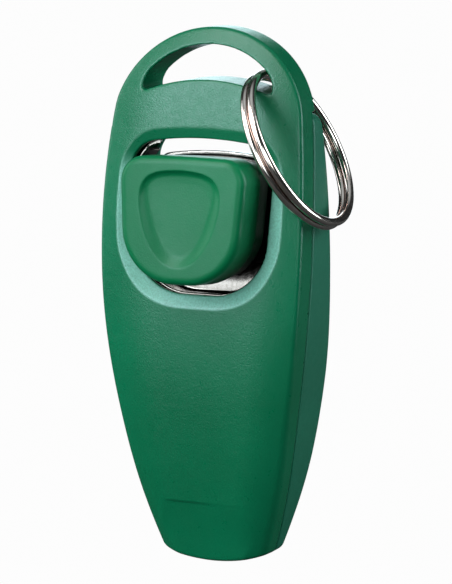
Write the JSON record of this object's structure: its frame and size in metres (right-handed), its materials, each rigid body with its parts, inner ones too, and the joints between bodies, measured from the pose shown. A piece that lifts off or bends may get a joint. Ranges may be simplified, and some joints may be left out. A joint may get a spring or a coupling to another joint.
{
  "type": "clicker trainer",
  "caption": "Pocket pet-training clicker with a thumb button on a snap spring, whistle mouthpiece, lanyard loop and split ring.",
  "frame": {"origin": "tip of the mouthpiece, on the plane of symmetry and on the plane where the two shells part", "axes": "+Z from the mouthpiece to the lanyard loop, -Y out of the button face, +X across the body to the side where the split ring hangs"},
  "size_m": [0.0345, 0.024, 0.0754],
  "materials": {
    "shell_plastic": "fine spark-eroded satin",
    "button_plastic": "fine satin",
    "spring_steel": "polished",
    "fastener_steel": "plain",
    "ring_steel": "polished nickel plate"
  },
  "bodies": {
    "housing": {"front_shell": "shell_plastic", "back_shell": "shell_plastic", "spring_tray": "spring_steel", "tray_screws": "fastener_steel", "windway_block": "shell_plastic", "chamber_bulkhead": "shell_plastic"},
    "button": {"thumb_button": "button_plastic", "button_rivets": "fastener_steel", "click_leaf": "spring_steel"},
    "ring": {"split_ring": "ring_steel"}
  },
  "joints": [
    {"name": "button_press", "type": "hinge", "parent": "housing", "child": "button", "pos_m": [0, -0.00374, 0.04268], "axis": [-1, 0, 0], "range_deg": [0, 7]},
    {"name": "ring_swing", "type": "hinge", "parent": "housing", "child": "ring", "pos_m": [0.0072, -0.0035, 0.06895], "axis": [0, -1, 0], "range_deg": [0, 150]}
  ]
}
